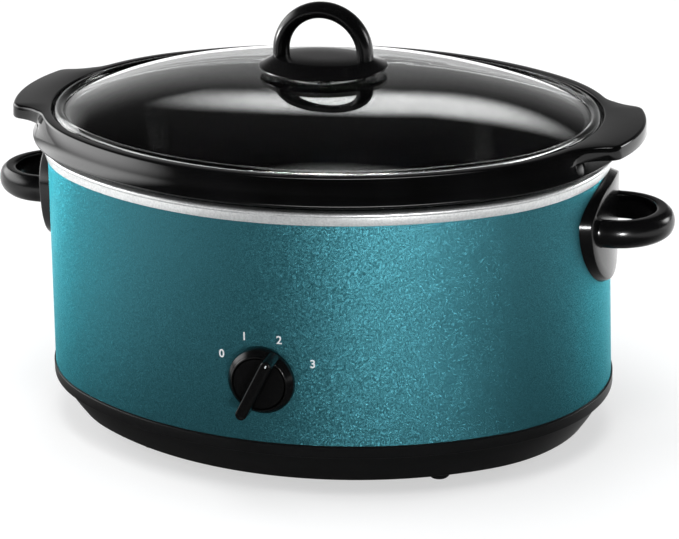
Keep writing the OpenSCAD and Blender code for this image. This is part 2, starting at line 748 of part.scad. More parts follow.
module stoneware_crock() {
  body_x = well_at(band_top) - crock_gap;
  foot_x0 = well_at(well_z) - crock_gap;
  inner_foot = foot_x0 - crock_t;
  seat_low = band_top + seat;
  top_x = rim_out - rim_flare;
  section = concat(
    [[foot_x0 - 10, crock_z]], arc(foot_x0 - 10, crock_z + 10, 10, -90, -6, 6),
    [[body_x, seat_low], [-4.5, seat_low], [-3.5, rim_low]],
    arc(rim_out - 0.9, rim_low + 0.9, 0.9, -90, 18, 5),
    arc(top_x - 2, rim_top - 2, 2, 18, 90, 5),
    arc(rim_in + 0.8, rim_top - 0.8, 0.8, 90, 170, 4),
    arc(rim_in + 0.2, ledge_z + 1.2, 1.2, 0, -90, 4),
    arc(ledge_in + 2, ledge_z - 2, 2, 90, 174, 5),
    arc(inner_foot - 14, crock_in_z + 14, 14, -6, -90, 8));
  color("#17181a") standing() difference() {
    union() {
      oval_solid(section);
      for (side = [0, 1]) mirror([side, 0, 0]) translate([0, 0, rim_top - ear_t])
        linear_extrude(ear_t) difference() {
          ear_outline();
          translate([end_x, 0]) circle(end_r + top_x - 4, $fn = 180);
        }
    }
  }
}

// ---- Lid ----

// Points round the oval at an offset, counter-clockwise from the right end's lower side
function oval_points(d, ends = 16, sides = 20) = concat(
  [for (i = [0:ends - 1]) arc_point(end_x, 0, end_r + d, end_a * (2 * i / ends - 1))],
  [for (i = [0:sides - 1]) arc_point(0, -side_y, side_r + d, end_a + 2 * side_a * i / sides)],
  [for (i = [0:ends - 1]) arc_point(-end_x, 0, end_r + d, 180 + end_a * (2 * i / ends - 1))],
  [for (i = [0:sides - 1]) arc_point(0, side_y, side_r + d, 180 + end_a + 2 * side_a * i / sides)]);
function arc_point(x, y, r, a) = [x + r * cos(a), y + r * sin(a)];

// Rings of the lid: round the edge's bead, over the dome and round the middle
lid_hole_r = lug_screw_r + 0.7;
function bead_ring(a) = [for (p = oval_points(lid_edge - lid_bead_r * (1 - cos(a))))
  [p[0], p[1], bead_z + lid_bead_r * sin(a)]];
function dome_ring(s, drop) = [for (p = oval_points(dome_from))
  [p[0] * s, p[1] * s, dome_foot_z + lid_rise * (1 - pow(s, lid_curve)) - drop]];
function round_ring(r, z) = [for (p = oval_points(dome_from)) let (u = r / norm(p))
  [p[0] * u, p[1] * u, z]];

module glass_lid() {
  steps = [0.28, 0.42, 0.56, 0.7, 0.82, 0.92, 1];
  rings = concat([round_ring(lid_hole_r, dome_z - glass_t), round_ring(seat_r + 2, dome_z - glass_t)],
    [for (s = steps) dome_ring(s, glass_t)], [for (a = [210:36:498]) bead_ring(a)],
    [for (i = [1:len(steps)]) dome_ring(steps[len(steps) - i], 0)],
    [round_ring(seat_r + 2, dome_z), round_ring(seat_r, seat_z), round_ring(lid_hole_r, seat_z)]);
  around = len(rings[0]);
  color("#dfe7e8", 0.35) standing() polyhedron([for (ring = rings) each ring],
    [for (i = [0:len(rings) - 1], k = [0:around - 1])
      let (j = (i + 1) % len(rings), m = (k + 1) % around)
      [i * around + k, j * around + k, j * around + m, i * around + m]]);
}

module lid_knob_seal() color("#3a3b3d") standing() translate([0, 0, seat_z + fit / 2]) difference() {
  cylinder(r = seat_r - 2, h = seal_t - fit);
  translate([0, 0, -1]) cylinder(r = lug_screw_r + 0.5, h = 4);
}

// One ring of points round the base of the lid's knob
function lug_ring(len, wid, z, n = 48) =
  [for (i = [0:n - 1]) let (a = 360 * i / n) [len * cos(a), wid * sin(a), z]];

module lid_knob() {
  flare = 5;
  dish = 4;
  n = 48;
  rings = concat(
    [lug_ring(lug_len - 2, lug_wid - 2, lug_z), lug_ring(lug_len, lug_wid, lug_z + 0.7),
     lug_ring(lug_len, lug_wid, lug_z + 1.6)],
    [for (i = [1:flare]) let (t = i / flare, u = 1 - pow(1 - t, 1.15))
      lug_ring(lug_len + (lug_rim_len - lug_len) * u, lug_wid + (lug_rim_wid - lug_wid) * u,
               lug_z + 1.6 + (lug_h - 1.6) * t)],
    [for (i = [0:dish - 1]) let (t = 1 - (i + 0.4) / dish)
      lug_ring((lug_rim_len - 1) * t, (lug_rim_wid - 1) * t, lug_top - dish_depth * (1 - t * t))]);
  last = (len(rings) - 1) * n;
  color("#141416") standing() difference() {
    union() {
      polyhedron([for (ring = rings) each ring], concat(
        [[for (i = [0:n - 1]) i]],
        [for (r = [0:len(rings) - 2], i = [0:n - 1])
          [r * n + i, (r + 1) * n + i, (r + 1) * n + (i + 1) % n, r * n + (i + 1) % n]],
        [[for (i = [0:n - 1]) last + n - 1 - i]]));
      translate([0, 0, lug_top + 2]) rotate([90, 0, 0]) rotate_extrude(angle = 180)
        translate([arch_r - arch_t / 2, 0]) round_rect(arch_t, arch_w, 4);
      for (side = [-1, 1]) translate([side * (arch_r - arch_t / 2), 0, lug_top - 4])
        linear_extrude(6) round_rect(arch_t, arch_w, 4);
    }
    translate([0, 0, lug_z - 1]) cylinder(r = lug_screw_r + running, h = lug_bore_z - lug_z + 1);
  }
}

under_z = dome_z - glass_t - fit;
lug_washer_t = 1.2;

module lid_knob_washer() color("#b4b8ba") standing()
  translate([0, 0, under_z - lug_washer_t]) difference() {
    cylinder(r = lug_screw_r + 6, h = lug_washer_t);
    translate([0, 0, -1]) cylinder(r = lug_screw_r + 0.3, h = 4);
  }

module lid_knob_screw() color("#b4b8ba") standing()
  translate([0, 0, under_z - lug_washer_t - fit]) {
    translate([0, 0, -2.6]) cylinder(r1 = lug_screw_r + 1, r2 = lug_screw_r + 2.4, h = 2.6);
    cylinder(r = lug_screw_r, h = lug_bore_z - under_z + lug_washer_t);
  }

base_pan();
rubber_feet();
outer_wrap();
heating_well();
well_bracket();
tie_stud();
tie_washer();
tie_nut();
heat_shield();
heater_band();
clamp_screw();
clamp_nut();
thermal_fuse();
fuse_clip();
internal_leads();
push_on_terminals();
handle_right();
handle_left();
handle_plates();
handle_screws();
rotary_switch();
switch_nut();
switch_shaft();
control_knob();
knob_clip();
cord_gland();
stoneware_crock();
glass_lid();
lid_knob();
lid_knob_seal();
lid_knob_washer();
lid_knob_screw();
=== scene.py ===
import math

import bmesh
import bpy
from mathutils import Matrix, Vector


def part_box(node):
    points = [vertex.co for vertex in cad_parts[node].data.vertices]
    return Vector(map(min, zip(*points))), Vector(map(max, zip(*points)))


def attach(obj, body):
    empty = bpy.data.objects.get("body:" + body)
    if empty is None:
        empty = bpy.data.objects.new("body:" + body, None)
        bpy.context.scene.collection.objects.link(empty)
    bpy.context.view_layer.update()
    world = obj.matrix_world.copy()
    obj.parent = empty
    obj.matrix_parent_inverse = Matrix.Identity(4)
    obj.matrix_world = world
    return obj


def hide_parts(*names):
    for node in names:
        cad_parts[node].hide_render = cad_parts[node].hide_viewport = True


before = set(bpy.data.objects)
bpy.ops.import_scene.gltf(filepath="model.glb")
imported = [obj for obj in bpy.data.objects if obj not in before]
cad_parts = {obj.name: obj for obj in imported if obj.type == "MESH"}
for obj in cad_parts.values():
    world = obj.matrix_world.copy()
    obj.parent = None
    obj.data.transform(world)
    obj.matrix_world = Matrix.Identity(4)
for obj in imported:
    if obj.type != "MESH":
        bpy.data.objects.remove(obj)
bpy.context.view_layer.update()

# ---- The oval and its levels, in millimetres round the oval's own middle ----

MM = 0.001
UP = (0, 0, 1)

HALF_LEN = 185.0
HALF_WID = 140.0
END_R = 118.0
END_X = HALF_LEN - END_R
SIDE_RISE = HALF_WID - END_R
SIDE_Y = (END_X ** 2 - SIDE_RISE ** 2) / (2 * SIDE_RISE)
SIDE_R = HALF_WID + SIDE_Y
END_A = math.atan2(SIDE_Y, END_X)
SIDE_A = math.pi / 2 - END_A


def low(node):
    """Lowest corner of a CAD node, in millimetres."""
    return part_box(node)[0] / MM


def high(node):
    """Highest corner of a CAD node, in millimetres."""
    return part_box(node)[1] / MM


WRAP_T = 0.7
WRAP_H = 141.0
WRAP_LEAN = 3.4
WELL_T = 0.8
WELL_IN = 10.5
WELL_TAPER = 14.0
WELL_DEPTH = 137.5
BAND_H = 8.5
COLLAR_H = 8.0
RIM_H = 17.3
LEDGE_DEPTH = 6.1

OVAL_Y = (low("stoneware_crock").y + high("stoneware_crock").y) / 2
FOOT_Z = low("base_pan").z
COLLAR_Z = high("base_pan").z
TUCK_Z = low("outer_wrap").z
BAND_TOP = high("heating_well").z
BAND_LOW = BAND_TOP - BAND_H
WELL_Z = low("heating_well").z + WELL_T
RIM_TOP = high("stoneware_crock").z
RIM_LOW = RIM_TOP - RIM_H
LEDGE_Z = RIM_TOP - LEDGE_DEPTH
CROCK_Z = low("stoneware_crock").z
EAR_TIP = high("stoneware_crock").x
SEAT_Z = high("glass_lid").z
LUG_Z = low("lid_knob").z
KNOB_Z = (low("control_knob").z + high("control_knob").z) / 2
KNOB_FRONT = OVAL_Y - low("control_knob").y
HANDLE_TIP = high("handle_right").x
PAD_LOW = low("handle_right").z
PAD_HIGH = high("handle_right").z


def wrap_at(z):
    """How far the wrap's face stands out of the oval at a height."""
    return -WRAP_LEAN * (z - COLLAR_Z) / WRAP_H


def well_at(z):
    """How far the well's wall stands out of the oval at a height."""
    return -WELL_IN - WELL_TAPER * (BAND_TOP - z) / WELL_DEPTH


def way_to(azimuth, elevation):
    """Direction out from the middle; azimuth 0 is the front, and angles are in degrees."""
    a, e = math.radians(azimuth), math.radians(elevation)
    return Vector((math.sin(a) * math.cos(e), -math.cos(a) * math.cos(e), math.sin(e)))


def right_of(azimuth):
    """Level direction to the right of someone who looks from an azimuth."""
    a = math.radians(azimuth)
    return Vector((math.cos(a), math.sin(a), 0))


# ---- Outlines ----

def arc(out, up, radius, start, end, steps, rise=None):
    """Points along an arc, or along an ellipse with its own rise; angles in degrees."""
    rise = radius if rise is None else rise
    turns = [math.radians(start + (end - start) * i / steps) for i in range(steps + 1)]
    return [(out + radius * math.cos(a), up + rise * math.sin(a)) for a in turns]


def rounded(corners, steps=4, closed=False):
    """Points of an outline; a corner is (out, up) or, where it is rounded, (out, up, radius)."""
    points = []
    for i, corner in enumerate(corners):
        here = Vector(corner[:2])
        ends = not closed and i in (0, len(corners) - 1)
        if len(corner) == 2 or ends:
            points.append(tuple(here))
            continue
        before = (Vector(corners[i - 1][:2]) - here).normalized()
        after = (Vector(corners[(i + 1) % len(corners)][:2]) - here).normalized()
        half = before.angle(after) / 2
        centre = here + (before + after).normalized() * corner[2] / math.sin(half)
        first = here + before * corner[2] / math.tan(half) - centre
        last = here + after * corner[2] / math.tan(half) - centre
        start = math.atan2(first.y, first.x)
        turn = math.atan2(last.y, last.x) - start
        turn = (turn + math.pi) % (2 * math.pi) - math.pi
        for k in range(steps + 1):
            a = start + turn * k / steps
            points.append((centre.x + corner[2] * math.cos(a), centre.y + corner[2] * math.sin(a)))
    return points


# ---- Sweeps ----

def edges_of(geom):
    """The edges among some geometry."""
    return [g for g in geom if isinstance(g, bmesh.types.BMEdge)]


def chain(bm, places, closed=False):
    """A line of vertices and edges through the places."""
    verts = [bm.verts.new(p) for p in places]
    pairs = list(zip(verts, verts[1:]))
    if closed:
        pairs.append((verts[-1], verts[0]))
    return verts + [bm.edges.new(p) for p in pairs]


def spun(bm, geom, centre, axis, angle, steps):
    """Spins a section and gives its last place."""
    made = bmesh.ops.spin(bm, geom=geom, cent=centre, axis=axis, dvec=(0, 0, 0), angle=angle,
                          steps=steps, use_merge=False, use_normal_flip=False,
                          use_duplicate=False)
    return made["geom_last"]


def merged(bm):
    """Joins vertices that a sweep leaves in one place."""
    bmesh.ops.remove_doubles(bm, verts=bm.verts, dist=0.002)


def oval_start(section):
    """Where a section of (out, up) points stands before it is swept round the oval."""
    c, s = math.cos(END_A), math.sin(END_A)
    return [(END_X + (END_R + out) * c, -(END_R + out) * s, up) for out, up in section]


def round_oval(bm, ring, ends, sides):
    """Spins a section once round the oval, with so many steps in its end and side arcs."""
    ring = spun(bm, ring, (END_X, 0, 0), UP, 2 * END_A, ends)
    ring = spun(bm, ring, (0, -SIDE_Y, 0), UP, 2 * SIDE_A, sides)
    ring = spun(bm, ring, (-END_X, 0, 0), UP, 2 * END_A, ends)
    spun(bm, ring, (0, SIDE_Y, 0), UP, 2 * SIDE_A, sides)
    merged(bm)


def oval_sweep(bm, section, closed=True):
    """Sweeps a section of (out, up) points once round the oval."""
    round_oval(bm, chain(bm, oval_start(section), closed), 36, 40)


def bridged(bm, rings):
    """Joins each ring of edges to the next."""
    for one, other in zip(rings, rings[1:]):
        bmesh.ops.bridge_loops(bm, edges=one + other)


def open_loops(bm):
    """Edges of the open loops, lowest loop first."""
    left = {e for e in bm.edges if e.is_boundary}
    loops = []
    while left:
        loop = [left.pop()]
        for edge in loop:
            near = {e for v in edge.verts for e in v.link_edges} & left
            left -= near
            loop.extend(near)
        loops.append(loop)
    return sorted(loops, key=lambda loop: sum(v.co.z for e in loop for v in e.verts) / len(loop))


def grown(bm, loop):
    """Extrudes an open loop and gives its new edges and vertices."""
    made = bmesh.ops.extrude_edge_only(bm, edges=loop)["geom"]
    return edges_of(made), [g for g in made if isinstance(g, bmesh.types.BMVert)]


def closed_in(bm, loop, shrink=0.5):
    """Closes a flat open loop with one inner ring and a face."""
    edges, verts = grown(bm, loop)
    bmesh.ops.scale(bm, vec=(shrink, shrink, 1), verts=verts)
    bmesh.ops.contextual_create(bm, geom=edges)


def lathe(bm, section, centre=(0, 0, 0), axis=UP, steps=72):
    """Spins a section of (out, up) points all the way round the axis through a centre."""
    ring = chain(bm, [(out, 0, up) for out, up in section])
    spun(bm, ring, (0, 0, 0), UP, 2 * math.pi, steps)
    merged(bm)
    turn = Vector(UP).rotation_difference(Vector(axis)).to_matrix().to_4x4()
    bmesh.ops.transform(bm, matrix=Matrix.Translation(centre) @ turn, verts=bm.verts)


def spread_sweep(bm, section, spread, steps=24):
    """Sweeps a section round a straight-sided oval whose two ends are spread apart."""
    ring = chain(bm, [(spread, -out, up) for out, up in section])
    for side in (1, -1):
        ring = spun(bm, ring, (side * spread, 0, 0), UP, math.pi, steps)
        edges, verts = grown(bm, edges_of(ring))
        bmesh.ops.translate(bm, vec=(-2 * side * spread, 0, 0), verts=verts)
        ring = edges + verts
    merged(bm)


# ---- Pieces ----

def piece_from(name, bm, body, finish, crease=32):
    """Turns geometry in millimetres round the oval's middle into a piece that rides on a body."""
    merged(bm)
    bmesh.ops.recalc_face_normals(bm, faces=bm.faces)
    bmesh.ops.scale(bm, vec=(MM, MM, MM), verts=bm.verts)
    bmesh.ops.translate(bm, vec=(0, OVAL_Y * MM, 0), verts=bm.verts)
    mesh = bpy.data.meshes.new(name)
    bm.to_mesh(mesh)
    bm.free()
    mesh.shade_smooth()
    mesh.set_sharp_from_angle(angle=math.radians(crease))
    mesh.materials.append(finish)
    piece = bpy.data.objects.new(name, mesh)
    bpy.context.scene.collection.objects.link(piece)
    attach(piece, body)
    return piece


# ---- Finishes ----

def new_finish(name, colour, roughness, **values):
    """A material with its even values on the shader's own sockets."""
    finish = bpy.data.materials.new(name)
    finish.use_nodes = True
    shader = finish.node_tree.nodes["Principled BSDF"]
    shader.inputs["Base Color"].default_value = (*colour, 1)
    shader.inputs["Roughness"].default_value = roughness
    for socket, value in values.items():
        shader.inputs[socket.replace("_", " ")].default_value = value
    return finish


def node(finish, kind, **values):
    """A new node of a finish, with its unlinked sockets set by name."""
    made = finish.node_tree.nodes.new(kind)
    for key, value in values.items():
        if hasattr(made, key):
            setattr(made, key, value)
        else:
            made.inputs[key.replace("_", " ")].default_value = value
    return made


def link(finish, out, to):
    """Joins one node's output to another's input."""
    finish.node_tree.links.new(out, to)


def shader_socket(finish, name):
    """An input of a finish's main shader."""
    return finish.node_tree.nodes["Principled BSDF"].inputs[name]


def grain(finish, scale, detail=2.0):
    """A noise over the piece's own coordinates."""
    place = node(finish, "ShaderNodeTexCoord")
    noise = node(finish, "ShaderNodeTexNoise", Scale=scale, Detail=detail)
    link(finish, place.outputs["Object"], noise.inputs["Vector"])
    return noise.outputs["Fac"]


def tint(finish, fac, dark, light, start=0.3, end=0.7):
    """Lets a pattern move the colour between two tones."""
    tones = node(finish, "ShaderNodeValToRGB")
    tones.color_ramp.elements[0].position = start
    tones.color_ramp.elements[0].color = (*dark, 1)
    tones.color_ramp.elements[1].position = end
    tones.color_ramp.elements[1].color = (*light, 1)
    link(finish, fac, tones.inputs["Fac"])
    link(finish, tones.outputs["Color"], shader_socket(finish, "Base Color"))


def relief(finish, fac, depth, strength):
    """Lets a pattern raise the surface by a depth in metres."""
    bump = node(finish, "ShaderNodeBump", Strength=strength, Distance=depth)
    link(finish, fac, bump.inputs["Height"])
    link(finish, bump.outputs["Normal"], shader_socket(finish, "Normal"))


def flaked_enamel():
    """Teal paint with fine metal flakes under a clear coat."""
    finish = new_finish("teal_enamel", (0.05, 0.2, 0.24), 0.4, Metallic=0.9,
                        Specular_Tint=(0.36, 0.84, 0.9, 1), Coat_Weight=0.04, Coat_Roughness=0.05)
    place = node(finish, "ShaderNodeTexCoord")
    flakes = node(finish, "ShaderNodeTexVoronoi", Scale=3400)
    link(finish, place.outputs["Object"], flakes.inputs["Vector"])
    tilt = node(finish, "ShaderNodeVectorMath", operation="SUBTRACT")
    tilt.inputs[1].default_value = (0.5, 0.5, 0.5)
    link(finish, flakes.outputs["Color"], tilt.inputs[0])
    spread = node(finish, "ShaderNodeVectorMath", operation="SCALE", Scale=0.42)
    link(finish, tilt.outputs["Vector"], spread.inputs[0])
    shape = node(finish, "ShaderNodeNewGeometry")
    lean = node(finish, "ShaderNodeVectorMath", operation="ADD")
    link(finish, shape.outputs["Normal"], lean.inputs[0])
    link(finish, spread.outputs["Vector"], lean.inputs[1])
    even = node(finish, "ShaderNodeVectorMath", operation="NORMALIZE")
    link(finish, lean.outputs["Vector"], even.inputs[0])
    link(finish, even.outputs["Vector"], shader_socket(finish, "Normal"))
    split = node(finish, "ShaderNodeSeparateXYZ")
    link(finish, flakes.outputs["Color"], split.inputs["Vector"])
    tint(finish, split.outputs["X"], (0.036, 0.15, 0.185), (0.06, 0.24, 0.285), 0.2, 0.9)
    return finish


def black_plastic(name, roughness, tone=0.002, level=0.5):
    """Moulded black plastic with a faint unevenness."""
    finish = new_finish(name, (tone, tone, tone), roughness, IOR=1.46, Specular_IOR_Level=level)
    fac = grain(finish, 900)
    tint(finish, fac, (tone * 0.7, tone * 0.7, tone * 0.7), (tone * 1.3, tone * 1.3, tone * 1.4))
    return finish


def glazed_stoneware():
    """Black glaze that pools a little unevenly over fired clay."""
    finish = new_finish("black_glaze", (0.002, 0.002, 0.002), 0.09, IOR=1.52)
    broad = grain(finish, 35, detail=3)
    tint(finish, broad, (0.0015, 0.0015, 0.0015), (0.003, 0.003, 0.0032))
    relief(finish, grain(finish, 120), 0.00006, 0.3)
    return finish


def plated_steel(name, tone, roughness, metallic=1.0):
    """Plated sheet steel with a fine grain."""
    finish = new_finish(name, tone, roughness, Metallic=metallic)
    fine = grain(finish, 700)
    tint(finish, fine, tuple(t * 0.86 for t in tone), tuple(min(1, t * 1.06) for t in tone))
    return finish


def clear_glass():
    """Clear tempered glass."""
    finish = new_finish("clear_glass", (0.97, 0.985, 0.98), 0.0, Transmission_Weight=1.0, IOR=1.38)
    broad = grain(finish, 25)
    tint(finish, broad, (0.965, 0.98, 0.975), (0.98, 0.99, 0.987))
    return finish


def soft_finish(name, dark, light, roughness, scale=500, depth=0.00005):
    """Rubber, silicone or ceramic with a fine mottle."""
    finish = new_finish(name, light, roughness)
    fac = grain(finish, scale)
    tint(finish, fac, dark, light)
    relief(finish, fac, depth, 0.4)
    return finish


def printed_white():
    """Printed white ink, a little worn."""
    finish = new_finish("printed_white", (0.85, 0.87, 0.87), 0.45)
    tint(finish, grain(finish, 1200), (0.72, 0.76, 0.77), (0.9, 0.92, 0.92))
    return finish


ENAMEL = flaked_enamel()
BAND_STEEL = plated_steel("band_steel", (0.88, 0.89, 0.89), 0.32, 0.7)
PLAIN_STEEL = plated_steel("plain_steel", (0.62, 0.63, 0.64), 0.38)
BASE_PLASTIC = black_plastic("base_plastic", 0.3, 0.006)
HANDLE_PLASTIC = black_plastic("handle_plastic", 0.2)
KNOB_PLASTIC = black_plastic("knob_plastic", 0.2, level=0.35)
GLAND_PLASTIC = black_plastic("gland_plastic", 0.4)
SWITCH_PLASTIC = black_plastic("switch_plastic", 0.5)
GLAZE = glazed_stoneware()
GLASS = clear_glass()
FOOT_RUBBER = soft_finish("foot_rubber", (0.02, 0.02, 0.021), (0.03, 0.03, 0.031), 0.75)
SEAL_SILICONE = soft_finish("seal_silicone", (0.045, 0.045, 0.047), (0.06, 0.06, 0.062), 0.6)
LEAD_SILICONE = soft_finish("lead_silicone", (0.32, 0.035, 0.02), (0.42, 0.05, 0.03), 0.5)
FUSE_CERAMIC = soft_finish("fuse_ceramic", (0.62, 0.58, 0.48), (0.74, 0.7, 0.6), 0.6)
HEATER_WRAP = soft_finish("heater_wrap", (0.28, 0.26, 0.22), (0.42, 0.39, 0.34), 0.8, 350, 0.0002)
TERMINAL_BRASS = plated_steel("terminal_brass", (0.78, 0.58, 0.24), 0.3)
PRINT = printed_white()


# ---- Camera ----

def look(place, azimuth, elevation, roll, lens):
    """The camera; azimuth 0 looks along +Y, and the roll turns it clockwise."""
    back, right = way_to(azimuth, elevation), right_of(azimuth)
    axes = Matrix((right, back.cross(right), back)).transposed()
    camera = bpy.data.objects.new("camera", bpy.data.cameras.new("camera"))
    camera.data.lens = lens
    camera.data.sensor_width = 36
    camera.data.clip_end = 20
    turn = Matrix.Rotation(math.radians(-roll), 3, "Z")
    camera.matrix_world = Matrix.Translation(place) @ (axes @ turn).to_4x4()
    bpy.context.scene.collection.objects.link(camera)
    bpy.context.scene.camera = camera


def eye(azimuth, elevation, distance, side, height):
    """Where the camera stands: a distance from a point beside and above the oval's middle."""
    middle = Vector((0, OVAL_Y * MM, height))
    return way_to(azimuth, elevation) * distance + right_of(azimuth) * side + middle


AZIMUTH = 16.84
ELEVATION = 21.12
look(eye(AZIMUTH, ELEVATION, 1.63828, 0.00728, 0.09757), AZIMUTH, ELEVATION, 1.29, 133.64)


# ---- Wrap, well and base ----

def build_wrap():
    """The painted sheet wrap, whose foot is tucked into the base's collar."""
    top = BAND_TOP - 2.4
    bm = bmesh.new()
    oval_sweep(bm, [(0, TUCK_Z), (0, COLLAR_Z), (wrap_at(top), top), (wrap_at(top) - WRAP_T, top),
                    (-WRAP_T, COLLAR_Z), (-WRAP_T, TUCK_Z)])
    piece = piece_from("painted_wrap", bm, "base", ENAMEL)
    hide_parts("outer_wrap")


def build_well():
    """The well with its rolled band, which hangs over the wrap's top edge."""
    hem = wrap_at(BAND_LOW) + 0.1
    face = hem + 1.3
    bead_r = 1.5
    floor = well_at(WELL_Z)
    inside = rounded([(floor - 20, WELL_Z), (floor, WELL_Z, 10), (-WELL_IN, BAND_TOP, 0.6),
                      (face + 0.6, BAND_TOP)], 6)[:-1]
    bead = arc(face + 0.6, BAND_TOP - bead_r, bead_r, 90, -114, 14)
    hem_side = rounded([(face, BAND_TOP - 3.6), (face, BAND_LOW, 0.35), (hem, BAND_LOW),
                        (hem, BAND_TOP - WELL_T), (-WELL_IN + WELL_T, BAND_TOP - WELL_T)], 3)
    outside = rounded([(-WELL_IN + WELL_T, BAND_TOP - WELL_T - 0.4),
                       (floor + WELL_T, WELL_Z - WELL_T, 10.8), (floor - 20, WELL_Z - WELL_T)], 6)
    bm = bmesh.new()
    oval_sweep(bm, inside + bead + hem_side + outside, closed=False)
    for loop in open_loops(bm):
        closed_in(bm, loop)
    piece = piece_from("well_and_band", bm, "base", BAND_STEEL)
    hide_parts("heating_well")


def build_base():
    """The base pan: a bowed skirt under a collar, and a floor with a pocket for the nut."""
    ledge = COLLAR_Z - COLLAR_H
    low_z = FOOT_Z + 1.6
    pocket_r, pocket_h, sheet = 12, 8, 2.5
    lip = -2.6
    section = [(-40, FOOT_Z), (-17, FOOT_Z), (-15.6, FOOT_Z + 0.3), (-14.8, FOOT_Z + 0.9)]
    for i in range(13):
        t = i / 12
        section.append((-14.4 + 12 * t + 3.2 * t * (1 - t), low_z + (ledge - low_z) * t))
    section += rounded([(-2.4, ledge), (1, ledge, 0.5), (1, COLLAR_Z - 0.9, 0.35),
                        (0.3, COLLAR_Z - 0.8), (0.3, COLLAR_Z), (0.1, COLLAR_Z),
                        (0.1, TUCK_Z - 0.1), (-0.8, TUCK_Z - 0.1), (-0.8, COLLAR_Z),
                        (lip, COLLAR_Z)], 4)[1:]
    section += [(lip, TUCK_Z - 1.1), (-3.5, ledge - 1), (-5.2, COLLAR_Z - 13),
                (-8, COLLAR_Z - 13), (-16, FOOT_Z + 4), (-18, FOOT_Z + sheet),
                (-40, FOOT_Z + sheet)]
    bm = bmesh.new()
    oval_sweep(bm, section, closed=False)
    bottom, floor = open_loops(bm)
    for loop, radius in ((bottom, pocket_r), (floor, pocket_r + sheet)):
        edges, verts = grown(bm, loop)
        for v in verts:
            v.co.xy *= radius / v.co.xy.length
        edges, verts = grown(bm, edges)
        bmesh.ops.translate(bm, vec=(0, 0, pocket_h), verts=verts)
        closed_in(bm, edges)
    piece = piece_from("base_shell", bm, "base", BASE_PLASTIC)
    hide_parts("base_pan")


# ---- Crock and its ears ----

EAR_STEPS = (8, 10, 12, 10)


def ear_points():
    """Half outline of an ear from its tip to the end arc's last point: place, outward
    direction and share of the ear's own edge there, each round the end arc's centre."""
    wall_r, corner_r, blend_r, half = 104.0, 10.0, 30.0, math.radians(21)
    rim_r = END_R + 1.0
    wall_x = EAR_TIP - wall_r - END_X
    reach = wall_r - corner_r
    corner = Vector((wall_x + reach * math.cos(half), reach * math.sin(half)))
    far, near, wide = corner.length, rim_r + blend_r, corner_r + blend_r
    lift = math.acos((far ** 2 + near ** 2 - wide ** 2) / (2 * far * near))
    rim_a = math.atan2(corner.y, corner.x) + lift
    blend = Vector((near * math.cos(rim_a), near * math.sin(rim_a)))
    turn = math.atan2(corner.y - blend.y, corner.x - blend.x) + math.pi
    wall, bend, hollow, rest = EAR_STEPS
    points = []
    for i in range(wall):
        a = half * i / wall
        way = Vector((math.cos(a), math.sin(a)))
        points.append((Vector((wall_x, 0)) + wall_r * way, way, 1.0))
    for i in range(bend):
        a = half + (turn - half) * i / bend
        way = Vector((math.cos(a), math.sin(a)))
        points.append((corner + corner_r * way, way, 1.0))
    for i in range(hollow):
        a = turn + math.pi - (turn - rim_a) * i / hollow
        way = Vector((math.cos(a), math.sin(a)))
        points.append((blend + blend_r * way, -way, min(1.0, (hollow - i) / 5)))
    for i in range(rest + 1):
        a = rim_a + (END_A - rim_a) * i / rest
        way = Vector((math.cos(a), math.sin(a)))
        points.append((rim_r * way, way, 0.0))
    return points


def crock_section():
    """The crock's section, and which of its points the ears carry outwards, with the inset
    and the height that each has on an ear."""
    def side(z):
        """The rim's outer side, which leans in a little towards its top."""
        return (4.95 - 5.45 * (z - RIM_LOW) / (RIM_TOP - RIM_LOW), z)

    under = RIM_TOP - 9
    start = rounded([(-50, CROCK_Z), (-27.3, CROCK_Z, 10), (-13.5, BAND_TOP + 0.3, 1),
                     (-4.5, BAND_TOP + 0.3, 0.6), (-3.5, RIM_LOW), (0, RIM_LOW)], 5)
    start += arc(4.25, RIM_LOW + 0.9, 0.9, -80, 66, 8) + [side(under)]
    ear = {}
    for i, (inset, z) in enumerate([(1.4, 0), (0.45, 0.35), (0, 1.3), (0.25, 4.4)]):
        ear[len(start) + i] = (inset, under + z)
    edge = [side(under + lift) for lift in (0.3, 0.6, 1.0, 4.4)]
    brow, steps = 2, 5
    for i in range(steps + 1):
        a = math.radians(18 + 72 * i / steps)
        inset = 0.4 + brow * (1 - math.cos(a))
        ear[len(start) + len(edge) + i] = (inset, RIM_TOP - brow + brow * math.sin(a))
    edge += arc(-2.5, RIM_TOP - brow, brow, 18, 90, steps)
    end = rounded([(-4, RIM_TOP), (-7.1, RIM_TOP, 0.8), (-7.5, LEDGE_Z, 1.2), (-20.3, LEDGE_Z, 2),
                   (-35, CROCK_Z + 8.5, 14), (-60, CROCK_Z + 8.5)], 6)[1:]
    return start + edge + end, ear


def build_crock():
    """The crock, swept with its rim round the oval and then drawn out into an ear at each end."""
    section, ear = crock_section()
    bm = bmesh.new()
    spot = bm.verts.layers.int.new("spot")
    half = sum(EAR_STEPS)
    ring = chain(bm, oval_start(section))
    for i, v in enumerate(ring[:len(section)]):
        v[spot] = i
    round_oval(bm, ring, 2 * half, 48)
    points = ear_points()
    for v in bm.verts:
        x = abs(v.co.x) - END_X
        a = math.atan2(abs(v.co.y), x)
        step = round(a / END_A * half)
        if x <= 0 or abs(a * half / END_A - step) > 0.02 or step > half:
            continue
        edge, way, share = points[step]
        turn = math.atan2(edge.y, edge.x)
        reach = math.hypot(x, v.co.y)
        place = Vector((reach * math.cos(turn), reach * math.sin(turn), v.co.z))
        if v[spot] in ear and share:
            inset, z = ear[v[spot]]
            out = edge - way * inset
            place = place.lerp(Vector((out.x, out.y, z)), share)
        x = math.copysign(place.x + END_X, v.co.x)
        v.co = (x, math.copysign(place.y, v.co.y), place.z)
    for loop in open_loops(bm):
        closed_in(bm, loop)
    piece = piece_from("glazed_crock", bm, "crock", GLAZE, 40)
    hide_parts("stoneware_crock")


